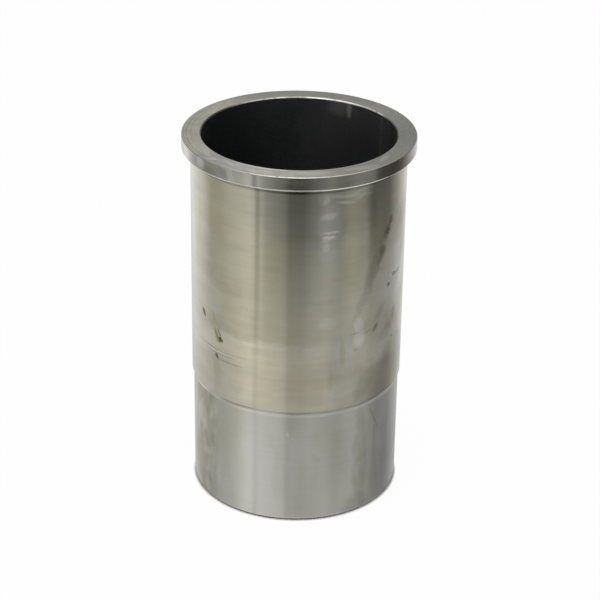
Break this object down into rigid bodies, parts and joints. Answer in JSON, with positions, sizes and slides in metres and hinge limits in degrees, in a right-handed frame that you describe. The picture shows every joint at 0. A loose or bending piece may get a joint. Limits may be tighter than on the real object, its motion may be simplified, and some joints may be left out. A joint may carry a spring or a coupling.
{
  "type": "cylinder liner",
  "caption": "Flanged wet cylinder liner: a turned cast iron sleeve with a honed bore, a seating flange at the top and a stepped outer wall.",
  "frame": {"origin": "centre of the foot ring, on the liner's axis, at the plane it stands on", "axes": "+Z along the axis, from the foot to the flange; X and Y are free, because the piece is turned"},
  "size_m": [0.1224, 0.1224, 0.202],
  "materials": {
    "liner_iron": "turned outside, honed bore"
  },
  "bodies": {
    "root": {"cylinder_liner": "liner_iron"}
  },
  "joints": []
}
